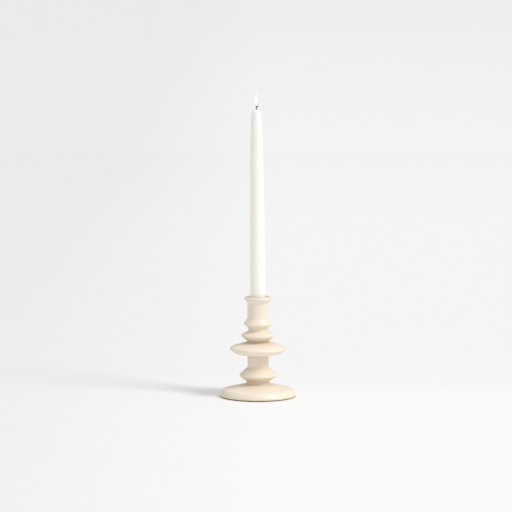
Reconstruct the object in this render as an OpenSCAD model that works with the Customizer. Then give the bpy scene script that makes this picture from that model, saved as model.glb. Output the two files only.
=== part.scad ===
// Turned wooden candlestick: a round foot, a beaded stem with one wide disc, and a socket
// lined with a brass cup that holds a tapered candle. The stem is turned in separate lengths
// that plug into each other on glued round tenons, and a screw under the foot pulls them tight.
// Millimetres, +Z up. The origin is the middle of the face that the felt stands on.

/* [Foot] */
// Diameter of the foot
foot_d = 110; // [86:1:150]
// Thickness of the foot at its middle, from its underside to the face the stem stands on
foot_h = 19.8; // [17:0.1:26]
// Height of the foot's upright outer edge before it is rounded
foot_edge_h = 2.6; // [2:0.1:5]
// Rounding on top of the foot's edge
foot_edge_r = 4.6; // [1:0.1:6]
// Rounding under the foot's edge
foot_under_r = 1.3; // [0.5:0.1:2.5]
// How far in from the edge the shallow dome starts
foot_shoulder = 3.5; // [2:0.1:8]
// Height above the underside where the dome starts
foot_dome_h = 9.3; // [7:0.1:12]
// Rounding where the edge runs into the dome
foot_dome_r = 10; // [2:0.5:20]
// Hollow rounding where the dome turns up into the waist
foot_cove_r = 2; // [1:0.1:4]
// Diameter of the waist where the stem stands on the foot
waist_d = 33; // [30:0.1:44]

/* [Lower stem] */
// Height of the lower stem, from the foot to the wide disc
lower_stem_h = 38.4; // [32:0.1:48]
// Height on the lower stem where the underside of its bead starts
low_bead_under_h = 1.5; // [1:0.1:3]
// Height of the widest point of the low bead
low_bead_h = 9.8; // [7:0.1:11]
// Diameter to which the low bead's two slopes run before it is rounded
low_bead_d = 57.5; // [48:0.1:74]
// Rounding of the low bead's edge
low_bead_r = 3.1; // [1:0.1:5]
// Height on the lower stem where the bead runs out into the neck
low_neck_h = 22; // [18:0.1:24]
// Diameter of the neck just above the low bead
low_neck_d = 30; // [28:0.1:38]
// Diameter of the neck just below the wide disc
disc_neck_d = 31; // [26:0.1:36]

/* [Wide disc] */
// Thickness of the wide disc at its middle
disc_h = 20.2; // [17:0.1:25]
// Diameter to which the disc's two slopes run before its edge is rounded
disc_d = 84.9; // [70:0.1:110]
// Height of the disc's edge above its underside
disc_edge_h = 10.5; // [9:0.1:12]
// Rounding of the disc's edge
disc_edge_r = 2.5; // [1:0.1:4]
// Diameter at which the underside turns up towards the edge
disc_under_d = 66.7; // [50:0.1:72]
// Height at which the underside turns up towards the edge
disc_under_h = 3.1; // [2:0.1:6]
// Diameter at which the top face turns down towards the edge
disc_top_d = 70; // [50:0.1:74]
// How far below the middle of the top face that turn lies
disc_top_drop = 5.6; // [3:0.1:7]

/* [Upper stem] */
// Height of the upper stem, from the wide disc to the rim of the socket
upper_stem_h = 65.2; // [60:0.1:80]
// Diameter of the valley between the wide disc and the bead above it
disc_valley_d = 30.5; // [28:0.1:36]
// Height on the upper stem where the underside of the middle bead starts
mid_bead_under_h = 1.4; // [1:0.1:3]
// Height of the middle bead's edge
mid_bead_h = 9.4; // [8:0.1:11]
// Diameter to which the middle bead's slopes run before it is rounded
mid_bead_d = 52.6; // [44:0.1:64]
// Rounding of the middle bead's edge
mid_bead_r = 2.1; // [1:0.1:4]
// Height of the valley between the middle bead and the top bead
valley_h = 17.6; // [15:0.1:19]
// Diameter to which the slopes of that valley run before it is rounded
valley_d = 22.3; // [20:0.1:28]
// Height of the top bead's edge
top_bead_h = 25.7; // [25:0.1:28]
// Diameter to which the top bead's slopes run before it is rounded
top_bead_d = 42.2; // [38:0.1:50]
// Rounding of the top bead's edge
top_bead_r = 1.2; // [0.5:0.1:2]
// Height where the top bead runs out into the socket's neck
socket_neck_h = 33.7; // [31:0.1:35]

/* [Socket] */
// Diameter of the socket's neck just above the top bead
socket_foot_d = 30.9; // [30:0.1:36]
// Diameter of the socket's neck just below the flared rim
socket_neck_d = 30.5; // [29:0.1:36]
// Diameter of the flared rim
rim_d = 40.4; // [36:0.1:48]
// Height of the rim's outer edge
rim_edge_h = 4; // [3:0.1:5]
// Height of the flare under the rim's outer edge
rim_flare_h = 5.1; // [3:0.1:7]
// Diameter of the open mouth at the rim
mouth_d = 31.4; // [28:0.1:33]
// Depth of the mouth's slope from the rim down to the bore
mouth_h = 4.2; // [3:0.1:6]
// Depth from the rim to the face that the candle stands on
socket_depth = 28; // [20:0.5:29]

/* [Candle cup] */
// Inside diameter of the brass cup; the candle follows it
cup_bore_d = 22.8; // [20.6:0.1:24]
// Thickness of the cup's wall and flared lip
cup_wall = 0.6; // [0.4:0.1:0.9]
// Thickness of the cup's floor
cup_floor = 0.8; // [0.6:0.1:1.2]
// How far the lip ends below the wooden rim
lip_drop = 2.2; // [1.5:0.1:3]

/* [Tenons] */
// Diameter of the tenon that joins the lower stem to the foot
foot_tenon_d = 18; // [14:0.1:22]
// Depth of the mortise in the foot
foot_mortise_h = 8; // [6:0.1:9]
// Diameter of the long tenon that runs through the wide disc
stem_tenon_d = 16; // [12:0.1:19]
// Depth of the mortise in the top of the lower stem
stem_mortise_h = 16; // [10:0.1:18]

/* [Screws] */
// Thread diameter of the screw under the foot
foot_screw_d = 4.5; // [4:0.1:5]
// Length of that screw under its head
foot_screw_len = 26; // [22:0.5:28]
// Diameter of that screw's pan head
foot_screw_head_d = 9; // [8:0.1:11]
// Height of that screw's pan head
foot_screw_head_h = 3.2; // [2.5:0.1:3.5]
// Diameter of the washer under the head
washer_d = 16; // [12:0.1:18]
// Thickness of the washer
washer_t = 1.2; // [0.8:0.1:1.6]
// Thread diameter of the countersunk screw in the cup's floor
cup_screw_d = 2.6; // [2.2:0.1:3]
// Length of the countersunk screw
cup_screw_len = 12; // [8:0.5:16]
// Diameter of the countersunk head
cup_screw_head_d = 5.6; // [5:0.1:7]

/* [Felt pad] */
// Diameter of the felt pad
felt_d = 103; // [70:1:104]
// Thickness of the felt pad
felt_t = 2; // [1.5:0.1:3]
// How far the felt stands out below the wood
felt_stand = 1.2; // [0.8:0.1:1.4]

/* [Candle] */
// Length of the candle's wax
candle_len = 297.5; // [200:0.5:320]
// Length of the tapered part, measured down from the tip
taper_len = 250; // [150:1:270]
// How quickly the taper closes: 0 is a straight rod
taper_power = 0.14; // [0.05:0.01:0.2]
// Height of the rounded tip
candle_tip_h = 7; // [4:0.5:12]
// Diameter of the wick
wick_d = 1.5; // [1:0.1:2]
// Height of the wick's upright part above the wax
wick_up = 2.6; // [2:0.1:5]
// Radius of the wick's bend
wick_bend_r = 1.8; // [1.2:0.1:3]

/* [Hidden] */
$fn = 96;

// Clearances between pieces
glue_gap = 0.1;       // round a tenon
tenon_end_gap = 0.5;  // past the end of a tenon
cup_fit = 0.05;       // round the pressed cup
candle_side_gap = 0.3; // between the cup and the wax
candle_foot_gap = 0.3; // between the cup's floor and the wax
felt_gap = 0.2;       // round the felt in its recess
screw_gap = 0.25;     // round a screw's shank where it passes freely
pilot_gap = 0.1;      // round a screw's core in its pilot hole
tip_gap = 1.5;        // past a screw's point
cut = 1;              // how far a cut runs past a face

// Heights of the faces where pieces meet
foot_z = felt_stand;
lower_z = foot_z + foot_h;
disc_z = lower_z + lower_stem_h;
upper_z = disc_z + disc_h;
rim_z = upper_z + upper_stem_h;

// Foot: recesses in its underside
recess_h = felt_t - felt_stand;
mortise_z = lower_z - foot_mortise_h;
head_room = 0.8; // between the screw's head and the felt
washer_z = felt_t + head_room + foot_screw_head_h;
screw_seat_z = washer_z + washer_t;
counterbore_d = washer_d + 2;

// Stem: outline details
under_r = 2.3;        // hollow rounding below a bead
neck_r = 3.5;         // hollow rounding above a bead
disc_under_r = 10;    // rounding of the disc's underside
disc_top_r = 18;      // rounding of the disc's top
rim_r = 1.6;          // rounding of the rim's outer edge
flare_r = 4;          // hollow rounding below the rim
mouth_r = 0.5;        // rounding of the mouth's edge
lower_tenon_h = foot_mortise_h - tenon_end_gap;
upper_tenon_h = disc_h + stem_mortise_h - tenon_end_gap;
tenon_chamfer = 0.8;

// Socket and cup
candle_d = cup_bore_d - 2 * candle_side_gap;
cup_d = cup_bore_d + 2 * cup_wall;
bore_d = cup_d + 2 * cup_fit;
cup_floor_z = rim_z - socket_depth;
socket_z = cup_floor_z - cup_floor;
mouth_z = rim_z - mouth_h;
flare = (mouth_d - bore_d) / 2 / mouth_h; // radius gained for each mm of height

// Screws
thread_pitch = 2;
core_share = 0.7;     // a screw's core as a share of its thread
foot_core_d = foot_screw_d * core_share;
cup_core_d = cup_screw_d * core_share;
cup_head_h = (cup_screw_head_d - cup_core_d) / 2; // a 90 degree countersink
slot_w = 1.1;
slot_h = 1.4;

// Candle
wax_z = cup_floor_z + candle_foot_gap;
wax_chamfer = 1;
wax_top = wax_z + candle_len;
wick_gap = 0.05;
wick_lift = 6;        // the wick starts this far above the candle's foot
wick_end = 1.2;       // length of the wick's straight end past its bend
taper_steps = 14;
tip_steps = 8;
arc_steps = 8;

// Colours
cream = "#F1E3CD";
brass = "#B08D4A";
steel = "#A9A9A6";
felt_black = "#2A2826";
wax_white = "#F8F4EC";
wick_black = "#1E1A18";

function direction(v) = v / norm(v);

// Points of the arc that rounds corner c between its neighbours a and b. The arc takes at most
// half of the shorter side, so that two roundings never run into each other.
function corner_arc(a, c, b, wanted) =
    let (
        to_a = direction(a - c),
        to_b = direction(b - c),
        half = acos(to_a * to_b) / 2,
        r = min(wanted, tan(half) * min(norm(a - c), norm(b - c)) / 2)
    )
    r <= 0 ? [c] :
    let (
        centre = c + direction(to_a + to_b) * r / sin(half),
        from = c + to_a * r / tan(half) - centre,
        to = c + to_b * r / tan(half) - centre,
        start = atan2(from.y, from.x),
        gap = atan2(to.y, to.x) - start,
        turn = gap > 180 ? gap - 360 : gap < -180 ? gap + 360 : gap
    )
    [for (i = [0:arc_steps])
        let (at = start + turn * i / arc_steps) centre + r * [cos(at), sin(at)]];

// Outline from corners given as [radius, height, rounding]. The first and last stay sharp.
function outline(corners) =
    let (at = [for (c = corners) [c[0], c[1]]], last = len(corners) - 1)
    [for (i = [0:last])
        each i == 0 || i == last ? [at[i]]
            : corner_arc(at[i - 1], at[i], at[i + 1], corners[i][2])];

// Turned solid: corners run up the outside from the axis and back to it
module turned(corners) {
    rotate_extrude() polygon(outline(corners));
}

// Round hole with its bottom at height z
module hole(d, z, h) {
    translate([0, 0, z]) cylinder(d = d, h = h);
}

// Wood screw outline pointing up: core, thread as rings at the thread's pitch, and point.
// The thread starts at height start and the point ends at height len.
function screw_corners(d, core_d, start, len) =
    let (rings = floor((len - start - d) / thread_pitch))
    [
        [core_d / 2, start],
        for (i = [0:rings - 1], k = [0:1])
            [(k == 0 ? core_d : d) / 2, start + (i + k / 2) * thread_pitch],
        [core_d / 2, start + rings * thread_pitch],
        [core_d / 2, len - d],
        [0, len]
    ];

module foot() {
    color(cream) difference() {
        turned([
            [0, foot_z, 0],
            [foot_d / 2, foot_z, foot_under_r],
            [foot_d / 2, foot_z + foot_edge_h, foot_edge_r],
            [foot_d / 2 - foot_shoulder, foot_z + foot_dome_h, foot_dome_r],
            [waist_d / 2, lower_z - foot_cove_r, foot_cove_r],
            [waist_d / 2, lower_z, 0],
            [0, lower_z, 0]
        ]);
        hole(foot_tenon_d + 2 * glue_gap, mortise_z, foot_mortise_h + cut);
        hole(foot_screw_d + 2 * screw_gap, foot_z, foot_h);
        hole(counterbore_d, foot_z - cut, screw_seat_z - foot_z + cut);
        hole(felt_d + 2 * felt_gap, foot_z - cut, recess_h + cut);
    }
}

module lower_stem() {
    tenon_z = lower_z - lower_tenon_h;
    color(cream) difference() {
        turned([
            [0, tenon_z, 0],
            [foot_tenon_d / 2 - tenon_chamfer, tenon_z, 0],
            [foot_tenon_d / 2, tenon_z + tenon_chamfer, 0],
            [foot_tenon_d / 2, lower_z, 0],
            [waist_d / 2, lower_z, 0],
            [waist_d / 2, lower_z + low_bead_under_h, under_r],
            [low_bead_d / 2, lower_z + low_bead_h, low_bead_r],
            [low_neck_d / 2, lower_z + low_neck_h, neck_r],
            [disc_neck_d / 2, disc_z, 0],
            [0, disc_z, 0]
        ]);
        hole(stem_tenon_d + 2 * glue_gap, disc_z - stem_mortise_h, stem_mortise_h + cut);
        hole(foot_core_d + 2 * pilot_gap, tenon_z - cut,
            washer_z + foot_screw_len + tip_gap - tenon_z + cut);
    }
}

module wide_disc() {
    color(cream) difference() {
        turned([
            [0, disc_z, 0],
            [disc_neck_d / 2, disc_z, 0],
            [disc_under_d / 2, disc_z + disc_under_h, disc_under_r],
            [disc_d / 2, disc_z + disc_edge_h, disc_edge_r],
            [disc_top_d / 2, upper_z - disc_top_drop, disc_top_r],
            [disc_valley_d / 2, upper_z, 0],
            [0, upper_z, 0]
        ]);
        hole(stem_tenon_d + 2 * glue_gap, disc_z - cut, disc_h + 2 * cut);
    }
}

module upper_stem() {
    tenon_z = upper_z - upper_tenon_h;
    color(cream) difference() {
        turned([
            [0, tenon_z, 0],
            [stem_tenon_d / 2 - tenon_chamfer, tenon_z, 0],
            [stem_tenon_d / 2, tenon_z + tenon_chamfer, 0],
            [stem_tenon_d / 2, upper_z, 0],
            [disc_valley_d / 2, upper_z, 0],
            [disc_valley_d / 2, upper_z + mid_bead_under_h, under_r],
            [mid_bead_d / 2, upper_z + mid_bead_h, mid_bead_r],
            [valley_d / 2, upper_z + valley_h, neck_r],
            [top_bead_d / 2, upper_z + top_bead_h, top_bead_r],
            [socket_foot_d / 2, upper_z + socket_neck_h, neck_r],
            [socket_neck_d / 2, rim_z - rim_edge_h - rim_flare_h, flare_r],
            [rim_d / 2 - rim_r / 2, rim_z - rim_edge_h, rim_r],
            [rim_d / 2, rim_z, rim_r],
            [mouth_d / 2, rim_z, mouth_r],
            [bore_d / 2, mouth_z, 0],
            [bore_d / 2, socket_z, 0],
            [0, socket_z, 0]
        ]);
        countersink(2 * cup_fit);
        hole(cup_core_d + 2 * pilot_gap, cup_floor_z - cup_screw_len - tip_gap,
            cup_screw_len + tip_gap);
    }
}

module foot_screw() {
    color(steel) difference() {
        translate([0, 0, washer_z]) rotate_extrude() polygon([
            [0, -foot_screw_head_h],
            [foot_screw_head_d / 2 - 1, -foot_screw_head_h],
            [foot_screw_head_d / 2, 1 - foot_screw_head_h],
            [foot_screw_head_d / 2, 0],
            [foot_core_d / 2, 0],
            each screw_corners(foot_screw_d, foot_core_d, screw_seat_z - washer_z, foot_screw_len)
        ]);
        for (turn = [0, 90])
            rotate(turn)
                translate([-foot_screw_head_d / 4, -slot_w / 2, washer_z - foot_screw_head_h - cut])
                    cube([foot_screw_head_d / 2, slot_w, slot_h + cut]);
    }
}

module screw_washer() {
    color(steel) difference() {
        hole(washer_d, washer_z, washer_t);
        hole(foot_screw_d + 2 * screw_gap, washer_z - cut, washer_t + 2 * cut);
    }
}

module felt_pad() {
    color(felt_black) hole(felt_d, 0, felt_t);
}

// Cone of the countersunk head, made wider by clearance
module countersink(clearance) {
    translate([0, 0, cup_floor_z - cup_head_h])
        cylinder(d1 = cup_core_d + clearance, d2 = cup_screw_head_d + clearance, h = cup_head_h);
}

module candle_cup() {
    lip_z = rim_z - lip_drop;
    lip_r = cup_d / 2 + (lip_z - mouth_z) * flare;
    across = cup_wall * sqrt(1 + flare * flare); // the sloping lip's wall, measured level
    inner_z = mouth_z + (cup_bore_d / 2 + across - cup_d / 2) / flare;
    color(brass) difference() {
        turned([
            [0, socket_z, 0],
            [cup_d / 2, socket_z, 0],
            [cup_d / 2, mouth_z, 0],
            [lip_r, lip_z, 0],
            [lip_r - across, lip_z, 0],
            [cup_bore_d / 2, inner_z, 0],
            [cup_bore_d / 2, cup_floor_z, 0],
            [0, cup_floor_z, 0]
        ]);
        countersink(2 * cup_fit);
    }
}

module cup_screw() {
    color(brass) difference() {
        translate([0, 0, cup_floor_z]) mirror([0, 0, 1]) rotate_extrude() polygon([
            [0, 0],
            [cup_screw_head_d / 2, 0],
            each screw_corners(cup_screw_d, cup_core_d, cup_head_h, cup_screw_len)
        ]);
        translate([-cup_screw_head_d / 2, -slot_w / 4, cup_floor_z - slot_h / 2])
            cube([cup_screw_head_d, slot_w / 2, slot_h / 2 + cut]);
    }
}

// Radius of the wax at distance below the tip
function wax_radius(below) =
    candle_d / 2 * pow(min(1, below / taper_len), taper_power);

module candle_wax() {
    tip_r = wax_radius(candle_tip_h);
    channel_r = wick_d / 2 + wick_gap;
    color(wax_white) difference() {
        rotate_extrude() polygon([
            [0, wax_z],
            [candle_d / 2 - wax_chamfer, wax_z],
            [candle_d / 2, wax_z + wax_chamfer],
            for (i = [0:taper_steps])
                let (share = pow(1 - i / taper_steps, 2),
                    below = candle_tip_h + (taper_len - candle_tip_h) * share)
                [wax_radius(below), wax_top - below],
            for (i = [1:tip_steps - 1])
                let (at = 90 * i / tip_steps)
                [tip_r * cos(at), wax_top - candle_tip_h + candle_tip_h * sin(at)],
            [0, wax_top]
        ]);
        hole(2 * channel_r, wax_z + wick_lift, candle_len);
    }
}

module wick() {
    bend_z = wax_top + wick_up;
    color(wick_black) {
        hole(wick_d, wax_z + wick_lift, bend_z - wax_z - wick_lift);
        translate([wick_bend_r, 0, bend_z]) rotate([90, 0, 180])
            rotate_extrude(angle = 90) translate([wick_bend_r, 0]) circle(d = wick_d);
        translate([wick_bend_r, 0, bend_z + wick_bend_r]) rotate([0, 90, 0])
            cylinder(d = wick_d, h = wick_end);
    }
}

foot();
lower_stem();
wide_disc();
upper_stem();
foot_screw();
screw_washer();
felt_pad();
candle_cup();
cup_screw();
candle_wax();
wick();
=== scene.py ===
"""A turned wooden candlestick with its lit taper candle, on a wide sheet of pale paper.

Each wooden piece is turned as on a lathe: its outline is traced once and spun round the
candlestick's axis. Outlines are in millimetres, measured from the faces where the pieces meet,
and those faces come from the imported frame.
"""

import math

import bpy
from mathutils import Matrix, Vector


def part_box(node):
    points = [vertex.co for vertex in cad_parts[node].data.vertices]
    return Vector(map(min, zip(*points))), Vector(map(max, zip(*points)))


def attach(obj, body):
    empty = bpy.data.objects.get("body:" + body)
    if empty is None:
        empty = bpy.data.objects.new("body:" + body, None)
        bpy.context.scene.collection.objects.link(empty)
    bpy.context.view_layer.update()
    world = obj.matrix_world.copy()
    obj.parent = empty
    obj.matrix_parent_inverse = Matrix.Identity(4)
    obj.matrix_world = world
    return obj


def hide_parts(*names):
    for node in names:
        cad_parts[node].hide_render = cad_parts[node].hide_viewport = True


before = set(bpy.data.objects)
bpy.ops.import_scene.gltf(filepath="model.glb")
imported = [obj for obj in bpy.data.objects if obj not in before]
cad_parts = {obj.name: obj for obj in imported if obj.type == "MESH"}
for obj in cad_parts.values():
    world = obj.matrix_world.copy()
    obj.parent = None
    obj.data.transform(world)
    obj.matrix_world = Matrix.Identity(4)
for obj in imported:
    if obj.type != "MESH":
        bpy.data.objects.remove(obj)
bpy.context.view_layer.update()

MM = 0.001
TURN_STEPS = 144    # round a piece of wood or brass
CANDLE_STEPS = 96
FLAME_STEPS = 48

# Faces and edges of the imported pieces, in millimetres
foot_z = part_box("foot")[0].z / MM
seat_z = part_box("foot")[1].z / MM
disc_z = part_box("wide_disc")[0].z / MM
valley_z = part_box("wide_disc")[1].z / MM
rim_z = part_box("upper_stem")[1].z / MM
wax_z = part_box("candle_wax")[0].z / MM
wax_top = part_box("candle_wax")[1].z / MM
wax_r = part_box("candle_wax")[1].x / MM
wick_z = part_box("wick")[0].z / MM
wick_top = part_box("wick")[1].z / MM
foot_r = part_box("foot")[1].y / MM
felt_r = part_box("felt_pad")[1].y / MM
felt_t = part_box("felt_pad")[1].z / MM
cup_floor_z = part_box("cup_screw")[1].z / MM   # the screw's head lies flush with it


# ---------------------------------------------------------------- modelling

def start_vertex(name, r, z):
    """One vertex at radius r and height z, in edit mode: the start of an outline."""
    bpy.ops.object.select_all(action="DESELECT")
    bpy.ops.mesh.primitive_plane_add(size=MM, location=(0, 0, 0))
    piece = bpy.context.object
    piece.name = piece.data.name = name
    bpy.ops.object.mode_set(mode="EDIT")
    bpy.ops.mesh.select_all(action="SELECT")
    bpy.ops.mesh.merge(type="CENTER")
    bpy.ops.transform.translate(value=(r * MM, 0, z * MM))
    return piece


def line_to(here, there):
    """Extrudes the outline's last vertex along a straight line."""
    step = there - here
    if step.length > 1e-6:
        bpy.ops.mesh.extrude_vertices_move(
            TRANSFORM_OT_translate={"value": (step.x * MM, 0, step.y * MM)})


def round_corner(before, corner, after, radius, steps):
    """Draws the line up to a corner and the arc that rounds it, and returns where it ends."""
    back = (before[1] - corner).normalized()
    on = (after - corner).normalized()
    half = math.acos(max(-1, min(1, back.dot(on)))) / 2
    side = min((before[0] - corner).length, (after - corner).length)
    radius = min(radius, math.tan(half) * side / 2)
    reach = radius / math.tan(half)
    centre = corner + (back + on).normalized() * radius / math.sin(half)
    start, end = corner + back * reach, corner + on * reach
    line_to(before[1], start)
    a, b = start - centre, end - centre
    turn = math.atan2(a.x * b.y - a.y * b.x, a.dot(b))
    bpy.ops.mesh.spin(steps=steps, angle=turn, axis=(0, 1, 0),
                      center=(centre.x * MM, 0, centre.y * MM))
    return end


def turned(name, corners, arc_steps=10, turn_steps=TURN_STEPS):
    """A turned piece. Its corners are (radius, height, rounding), from the axis up the outside
    and back to the axis. A ring's outline ends where it starts."""
    points = [Vector(c[:2]) for c in corners]
    piece = start_vertex(name, *points[0])
    here = points[0]
    for i, corner in enumerate(points[1:-1], 1):
        rounding = corners[i][2]
        if rounding:
            here = round_corner((points[i - 1], here), corner, points[i + 1], rounding, arc_steps)
        else:
            line_to(here, corner)
            here = corner
    line_to(here, points[-1])
    bpy.ops.mesh.select_all(action="SELECT")
    bpy.ops.mesh.remove_doubles(threshold=1e-4 * MM)
    bpy.ops.mesh.spin(steps=turn_steps, angle=math.tau, axis=(0, 0, 1), center=(0, 0, 0))
    close_shell()
    bpy.ops.object.mode_set(mode="OBJECT")
    return piece


def close_shell():
    """Merges seams and poles, and points every face outwards."""
    bpy.ops.mesh.select_all(action="SELECT")
    bpy.ops.mesh.remove_doubles(threshold=1e-3 * MM)
    bpy.ops.mesh.normals_make_consistent(inside=False)


def cover(piece, material):
    """Gives a piece one material all over."""
    piece.data.materials.clear()
    piece.data.materials.append(material)


def finish_piece(piece, body, material, slot, *stands_for, sharp=40):
    """Shades a piece, gives it its material and hangs it on its body."""
    bpy.ops.object.select_all(action="DESELECT")
    piece.select_set(True)
    bpy.context.view_layer.objects.active = piece
    bpy.ops.object.transform_apply()
    bpy.ops.object.shade_smooth_by_angle(angle=math.radians(sharp))
    cover(piece, material)
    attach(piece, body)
    if stands_for:
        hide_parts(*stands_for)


# ---------------------------------------------------------------- materials

def linear(hex_colour):
    """An sRGB hex colour as linear RGBA."""
    parts = [int(hex_colour[i:i + 2], 16) / 255 for i in (1, 3, 5)]
    return (*[c / 12.92 if c <= 0.04045 else ((c + 0.055) / 1.055) ** 2.4 for c in parts], 1)


def add_node(tree, kind, inputs=None, **settings):
    """Adds a node. An input is a value, or another node's output to link from."""
    node = tree.nodes.new("ShaderNode" + kind)
    for key, value in settings.items():
        setattr(node, key, value)
    for key, value in (inputs or {}).items():
        if isinstance(value, bpy.types.NodeSocket):
            tree.links.new(value, node.inputs[key])
        else:
            node.inputs[key].default_value = value
    return node


def new_material(name, **constants):
    """An empty Principled material: (material, tree, shader, Object coordinates)."""
    material = bpy.data.materials.new(name)
    material.use_nodes = True
    tree = material.node_tree
    shader = tree.nodes["Principled BSDF"]
    for key, value in constants.items():
        shader.inputs[key.replace("_", " ")].default_value = value
    place = add_node(tree, "TexCoord").outputs["Object"]
    return material, tree, shader, place


def stretched_noise(tree, place, size_mm, detail=3.0):
    """Noise whose grains are size_mm long along X, Y and Z."""
    scaled = add_node(tree, "Mapping", {"Vector": place, "Scale": [1 / (s * MM) for s in size_mm]})
    return add_node(tree, "TexNoise", {"Vector": scaled.outputs["Vector"], "Scale": 1.0,
                                       "Detail": detail, "Roughness": 0.55}).outputs["Fac"]


def ramp(tree, factor, low, high, at_low, at_high):
    """Maps a factor from the span low to high onto the span at_low to at_high, and clamps it."""
    return add_node(tree, "MapRange", {"Value": factor, "From Min": low, "From Max": high,
                                       "To Min": at_low, "To Max": at_high}).outputs["Result"]


def mix(tree, factor, a, b):
    """Mixes two colours."""
    node = add_node(tree, "Mix", data_type="RGBA")
    for socket, value in zip((node.inputs[0], node.inputs[6], node.inputs[7]), (factor, a, b)):
        if isinstance(value, bpy.types.NodeSocket):
            tree.links.new(value, socket)
        else:
            socket.default_value = value
    return node.outputs[2]


def bump(tree, height, depth_mm, under=None):
    """Bump that raises the surface by depth_mm where height is 1, on top of another bump."""
    inputs = {"Height": height, "Strength": 1.0, "Distance": depth_mm * MM}
    if under is not None:
        inputs["Normal"] = under
    return add_node(tree, "Bump", inputs).outputs["Normal"]


def cream_lacquered_beech(name, along_x):
    """Beech, turned and sprayed with a cream pigmented lacquer: a satin film that fills most of
    the grain. Fibres show as faint streaks and the lathe as fine rings. The hollows are painted
    darker and warmer, as painted shade. The grain runs along X in the flat pieces."""
    material, tree, shader, place = new_material(
        name, Coat_Weight=0.12, Coat_Roughness=0.25, Coat_IOR=1.5, IOR=1.46)

    def grain(along, across):
        return (along, across, across) if along_x else (across, across, along)

    fibres = stretched_noise(tree, place, grain(55, 1.3), 4)
    bands = stretched_noise(tree, place, grain(160, 9), 2)
    flecks = stretched_noise(tree, place, grain(4.5, 0.55), 1)
    cloud = stretched_noise(tree, place, (35, 35, 35), 2)
    colour = mix(tree, ramp(tree, fibres, 0.36, 0.66, 0, 1), linear("#F8EDDE"), linear("#F4E5D0"))
    colour = mix(tree, ramp(tree, bands, 0.35, 0.7, 0, 0.45), colour, linear("#F1E0C8"))
    colour = mix(tree, ramp(tree, flecks, 0.62, 0.8, 0, 0.35), colour, linear("#E6D0B2"))
    colour = mix(tree, ramp(tree, cloud, 0.3, 0.7, 0, 0.3), colour, linear("#FAF2E6"))
    # painted shade: by ambient occlusion, creases, hollows and the necks under the discs turn
    # darker and warmer
    hollow_shade = add_node(tree, "AmbientOcclusion", {"Distance": 48 * MM}, samples=8).outputs["AO"]
    colour = mix(tree, ramp(tree, hollow_shade, 0.15, 0.8, 0.55, 0), colour, linear("#D0B88C"))
    tree.links.new(colour, shader.inputs["Base Color"])
    tree.links.new(ramp(tree, cloud, 0.3, 0.7, 0.34, 0.44), shader.inputs["Roughness"])
    rings = stretched_noise(tree, lathe_place(tree, place), (0.9, 400, 400), 1)
    normal = bump(tree, fibres, 0.03)
    normal = bump(tree, rings, 0.012, normal)
    tree.links.new(normal, shader.inputs["Normal"])
    return material


def lathe_place(tree, place):
    """Coordinates whose X is the distance that a lathe's tool has travelled: radius and height."""
    parts = add_node(tree, "SeparateXYZ", {"Vector": place})
    flat = add_node(tree, "CombineXYZ", {"X": parts.outputs["X"], "Y": parts.outputs["Y"]})
    radius = add_node(tree, "VectorMath", {0: flat.outputs["Vector"]}, operation="LENGTH")
    travel = add_node(tree, "Math", {0: radius.outputs["Value"], 1: parts.outputs["Z"]},
                      operation="ADD")
    return add_node(tree, "CombineXYZ", {"X": travel.outputs["Value"]}).outputs["Vector"]


def aged_spun_brass():
    """Brass spun over a former and left to tone down: warm, half rough, with spinning rings."""
    material, tree, shader, place = new_material("aged_spun_brass", Metallic=1.0)
    tarnish = stretched_noise(tree, place, (3, 3, 3), 4)
    rings = stretched_noise(tree, lathe_place(tree, place), (0.3, 400, 400), 2)
    colour = mix(tree, ramp(tree, tarnish, 0.35, 0.7, 0, 1), linear("#C9A25C"), linear("#8C6A38"))
    tree.links.new(colour, shader.inputs["Base Color"])
    tree.links.new(ramp(tree, tarnish, 0.3, 0.7, 0.28, 0.5), shader.inputs["Roughness"])
    tree.links.new(bump(tree, rings, 0.01), shader.inputs["Normal"])
    return material


def zinc_plated_steel():
    """Zinc-plated steel screw and washer: dull silver with a crystalline bloom."""
    material, tree, shader, place = new_material("zinc_plated_steel", Metallic=1.0)
    bloom = stretched_noise(tree, place, (1.2, 1.2, 1.2), 3)
    colour = mix(tree, ramp(tree, bloom, 0.3, 0.7, 0, 1), linear("#C9CACB"), linear("#A6A8AA"))
    tree.links.new(colour, shader.inputs["Base Color"])
    tree.links.new(ramp(tree, bloom, 0.3, 0.7, 0.3, 0.48), shader.inputs["Roughness"])
    tree.links.new(bump(tree, bloom, 0.01), shader.inputs["Normal"])
    return material


def pressed_felt():
    """Needle-pressed wool felt: matt, with matted fibres and a soft sheen. Its dark grey is partly
    painted shade, standing in for the contact shadow in the thin gap under the foot.
    """
    material, tree, shader, place = new_material(
        "pressed_felt", Sheen_Weight=0.5, Sheen_Roughness=0.6, Roughness=0.95)
    fibres = stretched_noise(tree, place, (0.5, 0.5, 0.5), 5)
    tufts = stretched_noise(tree, place, (3, 3, 3), 2)
    # partly painted shade: this dark grey also stands in for the contact shadow under the foot's
    # edge
    colour = mix(tree, ramp(tree, fibres, 0.35, 0.7, 0, 1), linear("#2C2A28"), linear("#47433F"))
    colour = mix(tree, ramp(tree, tufts, 0.4, 0.7, 0, 0.4), colour, linear("#232120"))
    tree.links.new(colour, shader.inputs["Base Color"])
    tree.links.new(bump(tree, fibres, 0.25), shader.inputs["Normal"])
    return material


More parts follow.
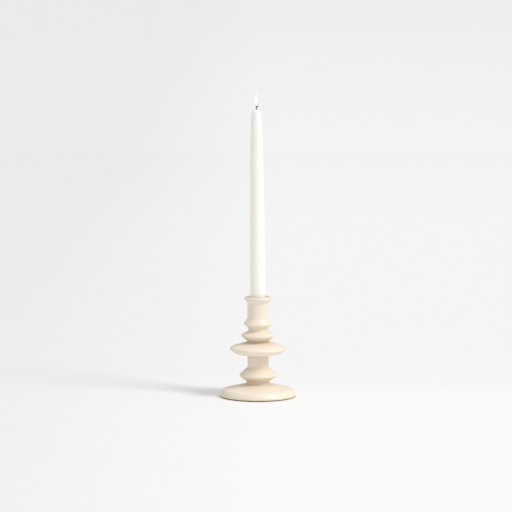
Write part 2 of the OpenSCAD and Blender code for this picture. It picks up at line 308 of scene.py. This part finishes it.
def dipped_paraffin():
    """Paraffin dipped in many thin coats: light goes in and out again, and the skin is satin. A
    faint warm glow is painted over the wax, painted light that lifts its shaded side.
    """
    # the emission is painted light: a faint warm glow over all the wax that brightens its shaded
    # side
    material, tree, shader, place = new_material(
        "dipped_paraffin", Subsurface_Weight=0.8, Subsurface_Scale=0.01, IOR=1.44,
        Coat_Weight=0.1, Coat_Roughness=0.25, Emission_Strength=0.06)
    shader.inputs["Subsurface Radius"].default_value = (1.0, 0.88, 0.8)
    shader.inputs["Emission Color"].default_value = linear("#FFEDE2")
    cloud = stretched_noise(tree, place, (9, 9, 60), 2)
    runs = stretched_noise(tree, place, (5, 5, 45), 2)
    bloom = stretched_noise(tree, place, (0.8, 0.8, 0.8), 3)
    colour = mix(tree, ramp(tree, cloud, 0.3, 0.7, 0, 1), linear("#FCF7F1"), linear("#FBF5ED"))
    tree.links.new(colour, shader.inputs["Base Color"])
    tree.links.new(ramp(tree, bloom, 0.3, 0.7, 0.34, 0.46), shader.inputs["Roughness"])
    normal = bump(tree, runs, 0.12)
    normal = bump(tree, bloom, 0.008, normal)
    tree.links.new(normal, shader.inputs["Normal"])
    return material


def charred_cotton():
    """Braided cotton burnt to soft carbon: black, matt, greyer where ash sits on the strands."""
    material, tree, shader, place = new_material("charred_cotton", Roughness=0.9)
    strands = stretched_noise(tree, place, (0.3, 0.3, 0.6), 3)
    colour = mix(tree, ramp(tree, strands, 0.4, 0.75, 0, 1), linear("#14110F"), linear("#3A332D"))
    tree.links.new(colour, shader.inputs["Base Color"])
    tree.links.new(bump(tree, strands, 0.15), shader.inputs["Normal"])
    return material


def candle_flame(low, high):
    """Glowing soot in a still flame: clear and faintly orange at the wick, white above."""
    material, tree, shader, place = new_material("candle_flame")
    tree.nodes.remove(shader)
    height = ramp(tree, add_node(tree, "SeparateXYZ", {"Vector": place}).outputs["Z"],
                  low * MM, high * MM, 0, 1)
    glow = add_node(tree, "ValToRGB", {"Fac": height})
    stops = glow.color_ramp.elements
    stops[0].position, stops[0].color = 0.0, linear("#FF9A3C")
    stops[1].position, stops[1].color = 0.45, linear("#FFFDF6")
    warm = stops.new(0.2)
    warm.color = linear("#FFD79A")
    light = add_node(tree, "Emission", {"Color": glow.outputs["Color"], "Strength": 1.15})
    clear = add_node(tree, "BsdfTransparent")
    body = add_node(tree, "MixShader", {
        0: ramp(tree, height, 0.05, 0.4, 0, 0.95), 1: clear.outputs[0], 2: light.outputs[0]})
    tree.links.new(body.outputs[0], tree.nodes["Material Output"].inputs["Surface"])
    return material


def studio_paper():
    """Matt white background paper with a little tooth: a shade greyer behind the object, far
    back and towards the left, where less of the light falls."""
    material, tree, shader, place = new_material("studio_paper", Roughness=0.95)
    tooth = stretched_noise(tree, place, (40, 40, 40), 3)
    parts = add_node(tree, "SeparateXYZ", {"Vector": place})
    colour = mix(tree, ramp(tree, tooth, 0.3, 0.7, 0, 1), linear("#F8F8F8"), linear("#F7F7F7"))
    colour = mix(tree, ramp(tree, parts.outputs["Y"], 0.0, 0.25, 0, 1), colour, linear("#F3F3F3"))
    colour = mix(tree, ramp(tree, parts.outputs["Y"], 3, 14, 0, 0.9), colour, linear("#EAEAEA"))
    colour = mix(tree, ramp(tree, parts.outputs["X"], -0.5, 0.0, 0.8, 0), colour, linear("#E7E7E7"))
    tree.links.new(colour, shader.inputs["Base Color"])
    return material


# ---------------------------------------------------------------- the wood

seam = 0.25           # a broken edge where two pieces meet, so the joint shows as a fine line
tenon_gap = 0.1       # glue round a tenon
tenon_end_gap = 0.5   # glue past its end
tenon_chamfer = 0.8
foot_tenon_r = 9
foot_mortise_z = seat_z - 8
foot_tenon_z = foot_mortise_z + tenon_end_gap
stem_tenon_r = 8
stem_mortise_z = disc_z - 16
stem_tenon_z = stem_mortise_z + tenon_end_gap

foot_hole_r = 2.5     # for the screw's shank
counterbore_r = 9     # for the screw's head and washer
counterbore_z = 7.2
recess_r = felt_r + 0.2

waist_r = 16.5
low_bead_r = 28.75
low_neck_r = 15
disc_neck_r = 15.5
disc_under_r = 33.35
disc_r = 42.45
disc_top_r = 35
disc_valley_r = 15.25
mid_bead_r = 26.3
valley_r = 11.15
top_bead_r = 21.1
socket_foot_r = 15.45
socket_neck_r = 15.25
rim_r = 20.2
rim_under_r = 19.4
mouth_r = 15.7
mouth_z = rim_z - 4.2
socket_r = 12.05
socket_z = cup_floor_z - 0.8   # the cup's floor stands on this face
cup_pilot_r = 1

flat_grain = cream_lacquered_beech("cream_lacquered_beech_flat_grain", True)
long_grain = cream_lacquered_beech("cream_lacquered_beech_long_grain", False)

foot = turned("turned_foot", [
    (foot_hole_r, counterbore_z, 0),
    (counterbore_r, counterbore_z, 0),
    (counterbore_r, felt_t, 0),
    (recess_r, felt_t, 0),
    (recess_r, foot_z, 0),
    (foot_r, foot_z, 1.3),
    (foot_r, foot_z + 2.6, 4.6),
    (foot_r - 3.5, foot_z + 9.3, 10),
    (waist_r, seat_z - 2, 2),
    (waist_r, seat_z - seam, 0),
    (waist_r - seam, seat_z, 0),
    (foot_tenon_r + tenon_gap, seat_z, 0),
    (foot_tenon_r + tenon_gap, foot_mortise_z, 0),
    (foot_hole_r, foot_mortise_z, 0),
    (foot_hole_r, counterbore_z, 0),
])
finish_piece(foot, "holder", flat_grain, "cream_wood", "foot")

lower_stem = turned("turned_lower_stem", [
    (0, foot_tenon_z, 0),
    (foot_tenon_r - tenon_chamfer, foot_tenon_z, 0),
    (foot_tenon_r, foot_tenon_z + tenon_chamfer, 0),
    (foot_tenon_r, seat_z, 0),
    (waist_r - seam, seat_z, 0),
    (waist_r, seat_z + seam, 0),
    (waist_r, seat_z + 1.5, 2.3),
    (low_bead_r, seat_z + 9.8, 3.1),
    (low_neck_r, seat_z + 22, 3.5),
    (disc_neck_r, disc_z - seam, 0),
    (disc_neck_r - seam, disc_z, 0),
    (stem_tenon_r + tenon_gap, disc_z, 0),
    (stem_tenon_r + tenon_gap, stem_mortise_z, 0),
    (0, stem_mortise_z, 0),
])
finish_piece(lower_stem, "holder", long_grain, "cream_wood", "lower_stem")

wide_disc = turned("turned_wide_disc", [
    (stem_tenon_r + tenon_gap, disc_z, 0),
    (disc_neck_r - seam, disc_z, 0),
    (disc_neck_r, disc_z + seam, 0),
    (disc_under_r, disc_z + 3.1, 10),
    (disc_r, disc_z + 10.5, 2.5),
    (disc_top_r, valley_z - 5.6, 18),
    (disc_valley_r + seam, valley_z, 0.3),
    (disc_valley_r - seam, valley_z - seam, 0),
    (stem_tenon_r + tenon_gap, valley_z - seam, 0),
    (stem_tenon_r + tenon_gap, disc_z, 0),
])
finish_piece(wide_disc, "holder", flat_grain, "cream_wood", "wide_disc")

upper_stem = turned("turned_upper_stem", [
    (0, stem_tenon_z, 0),
    (stem_tenon_r - tenon_chamfer, stem_tenon_z, 0),
    (stem_tenon_r, stem_tenon_z + tenon_chamfer, 0),
    (stem_tenon_r, valley_z - seam, 0),
    (disc_valley_r - seam, valley_z - seam, 0),
    (disc_valley_r, valley_z + seam, 0),
    (disc_valley_r, valley_z + 1.4, 2.3),
    (mid_bead_r, valley_z + 9.4, 2.1),
    (valley_r, valley_z + 17.6, 3.5),
    (top_bead_r, valley_z + 25.7, 1.2),
    (socket_foot_r, valley_z + 33.7, 3.5),
    (socket_neck_r, rim_z - 9.1, 4),
    (rim_under_r, rim_z - 4, 1.6),
    (rim_r, rim_z, 1.6),
    (mouth_r, rim_z, 0.5),
    (socket_r, mouth_z, 0),
    (socket_r, socket_z, 0),
    (2.9, socket_z, 0),
    (cup_pilot_r, socket_z - 1.9, 0),
    (cup_pilot_r, socket_z - 12.7, 0),
    (0, socket_z - 12.7, 0),
])
finish_piece(upper_stem, "holder", long_grain, "cream_wood", "upper_stem")

# ---------------------------------------------------------------- the candle cup

cup_r = 12
cup_bore_r = 11.4
cup_lip_r = 13.7
cup_lip_z = rim_z - 2.2
countersink_r = 2.85   # for the head of the cup's screw

brass = aged_spun_brass()
cup = turned("brass_candle_cup", [
    (countersink_r, cup_floor_z, 0),
    (cup_bore_r, cup_floor_z, 0.8),
    (cup_bore_r, mouth_z + 0.22, 1.5),
    (cup_lip_r - 0.8, cup_lip_z - 0.02, 0.25),
    (cup_lip_r, cup_lip_z, 0.28),
    (cup_r, mouth_z, 1.0),
    (cup_r, socket_z, 1.2),
    (countersink_r - 0.8, socket_z, 0),
    (countersink_r, cup_floor_z, 0),
], arc_steps=6)
finish_piece(cup, "holder", brass, "cup_brass", "candle_cup")

# ---------------------------------------------------------------- the felt pad

felt = turned("felt_pad_disc", [
    (0, 0, 0),
    (felt_r, 0, 0.5),
    (felt_r, felt_t, 0.3),
    (0, felt_t, 0),
], arc_steps=4)
finish_piece(felt, "holder", pressed_felt(), "dark_felt", "felt_pad")

# ---------------------------------------------------------------- the screws

steel = zinc_plated_steel()
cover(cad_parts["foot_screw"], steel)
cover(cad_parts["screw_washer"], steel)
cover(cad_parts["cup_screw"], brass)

# ---------------------------------------------------------------- the wax

taper_len = 250      # from the tip down to where the wax is full width
taper_power = 0.14   # how quickly it closes: 0 is a straight rod
tip_h = 7            # the rounded top
taper_steps = 14
tip_steps = 10
dimple_r = 0.8       # the wick stands in a small melted hollow


def taper_radius(below):
    """The wax's radius at a distance below its tip."""
    return wax_r * min(1, below / taper_len) ** taper_power


def lean_in_cup(piece):
    """Leans a piece of the candle about its foot, by the little play that the cup leaves it."""
    foot_point = Matrix.Translation((0, 0, wax_z * MM))
    lean = Matrix.Rotation(math.radians(-0.49), 4, "Y")
    piece.matrix_world = foot_point @ lean @ foot_point.inverted()


taper = []
for i in range(taper_steps + 1):
    below = tip_h + (taper_len - tip_h) * (1 - i / taper_steps) ** 2
    taper.append((taper_radius(below), wax_top - below, 0))

tip = []
for i in range(1, tip_steps - 1):
    angle = math.pi / 2 * i / tip_steps
    tip.append((taper_radius(tip_h) * math.cos(angle),
                wax_top - tip_h + tip_h * math.sin(angle), 0))

wax = turned("taper_candle", [
    (0, wax_z, 0),
    (wax_r, wax_z, 1),
    *taper,
    *tip,
    (1.7, wax_top - 0.05, 0),
    (1.1, wax_top - 0.5, 0),
    (dimple_r, wax_top - 0.7, 0),
    (dimple_r, wick_z, 0),
    (0, wick_z, 0),
], turn_steps=CANDLE_STEPS)
lean_in_cup(wax)
finish_piece(wax, "candle", dipped_paraffin(), "candle_wax", "candle_wax")

# ---------------------------------------------------------------- the wick

wick_r = 0.75
bend_r = 1.8     # the burnt end curls over
curl_end = 1.2
bend_z = wick_top - wick_r - bend_r
bpy.ops.object.select_all(action="DESELECT")
bpy.ops.mesh.primitive_circle_add(vertices=18, radius=wick_r * MM, location=(0, 0, wick_z * MM),
                                  fill_type="NGON")
wick = bpy.context.object
wick.name = wick.data.name = "burnt_wick"
bpy.ops.object.transform_apply()
bpy.ops.object.mode_set(mode="EDIT")
bpy.ops.mesh.select_all(action="SELECT")
bpy.ops.mesh.extrude_region_move(TRANSFORM_OT_translate={"value": (0, 0, (bend_z - wick_z) * MM)})
bpy.ops.mesh.spin(steps=10, angle=math.pi / 2, axis=(0, -1, 0),
                  center=(bend_r * MM, 0, bend_z * MM))
bpy.ops.mesh.extrude_region_move(TRANSFORM_OT_translate={"value": (curl_end * MM, 0, 0)})
close_shell()
bpy.ops.object.mode_set(mode="OBJECT")
lean_in_cup(wick)
finish_piece(wick, "candle", charred_cotton(), "wick_cotton", "wick")

# ---------------------------------------------------------------- the flame

flame_low = wick_top - 2
flame_high = wick_top + 18.5
flame_r = 2.4
flame = turned("candle_flame", [
    (0, flame_low, 0),
    (flame_r * 0.75, flame_low + 2, 1.5),
    (flame_r * 1.05, flame_low + 6.5, 6),
    (flame_r * 0.7, flame_low + 13, 12),
    (0, flame_high, 0),
], turn_steps=FLAME_STEPS)
lean_in_cup(flame)
finish_piece(flame, "candle", candle_flame(flame_low, flame_high), "candle_wax", sharp=80)

# ---------------------------------------------------------------- studio

floor_side = 24
far_side = 24     # how far the paper goes on beyond that, climbing
far_climb = 1.4


def build_floor():
    """A wide paper floor, flat round the object, that climbs gently far behind it."""
    bpy.ops.object.select_all(action="DESELECT")
    bpy.ops.mesh.primitive_plane_add(size=floor_side, location=(0, -floor_side / 4, 0))
    bpy.ops.object.transform_apply()
    floor = bpy.context.object
    floor.name = floor.data.name = "studio_floor"
    bpy.ops.object.mode_set(mode="EDIT")
    bpy.ops.mesh.select_all(action="DESELECT")
    bpy.ops.mesh.select_mode(type="EDGE")
    bpy.ops.object.mode_set(mode="OBJECT")
    back = max(v.co.y for v in floor.data.vertices)
    for edge in floor.data.edges:
        edge.select = all(abs(floor.data.vertices[v].co.y - back) < 1e-6 for v in edge.vertices)
    bpy.ops.object.mode_set(mode="EDIT")
    bpy.ops.mesh.extrude_region_move(
        TRANSFORM_OT_translate={"value": (0, far_side, far_climb)})
    bpy.ops.object.mode_set(mode="OBJECT")
    cover(floor, studio_paper())


def add_sun(name, direction, spread, strength):
    """Even light from one direction. The spread in degrees is how soft its shadows are."""
    light = bpy.data.lights.new(name, "SUN")
    light.angle, light.energy = math.radians(spread), strength
    lamp = bpy.data.objects.new(name, light)
    bpy.context.scene.collection.objects.link(lamp)
    lamp.location = Vector(direction).normalized() * 4
    lamp.rotation_euler = Vector(direction).to_track_quat("Z", "Y").to_euler()


def light_the_air(at_horizon, overhead):
    """White light from all round, stronger from overhead."""
    world = bpy.data.worlds.new("studio_air")
    world.use_nodes = True
    tree = world.node_tree
    background = tree.nodes["Background"]
    background.inputs["Color"].default_value = (1, 1, 1, 1)
    direction = add_node(tree, "TexCoord").outputs["Generated"]
    up = add_node(tree, "SeparateXYZ", {"Vector": direction}).outputs["Z"]
    tree.links.new(ramp(tree, up, 0, 1, at_horizon, overhead), background.inputs["Strength"])
    bpy.context.scene.world = world


build_floor()
add_sun("key_light", (0.610, -0.381, 0.695), 20, 1.47)
light_the_air(0.33, 0.89)
bpy.context.scene.view_settings.view_transform = "Standard"

# ---------------------------------------------------------------- the camera

view_distance = 3.625            # from the middle of the foot
view_rise = math.radians(9.0)    # above the table
aim_drop = math.radians(3.208)   # the foot lies this far below the middle of the view

camera = bpy.data.objects.new("camera", bpy.data.cameras.new("camera"))
bpy.context.scene.collection.objects.link(camera)
camera.data.lens = 175.8
camera.data.clip_end = 50
camera.location = (-0.003, -view_distance * math.cos(view_rise),
                   view_distance * math.sin(view_rise))
camera.rotation_euler = (math.pi / 2 - (view_rise - aim_drop), 0, 0)
bpy.context.scene.camera = camera
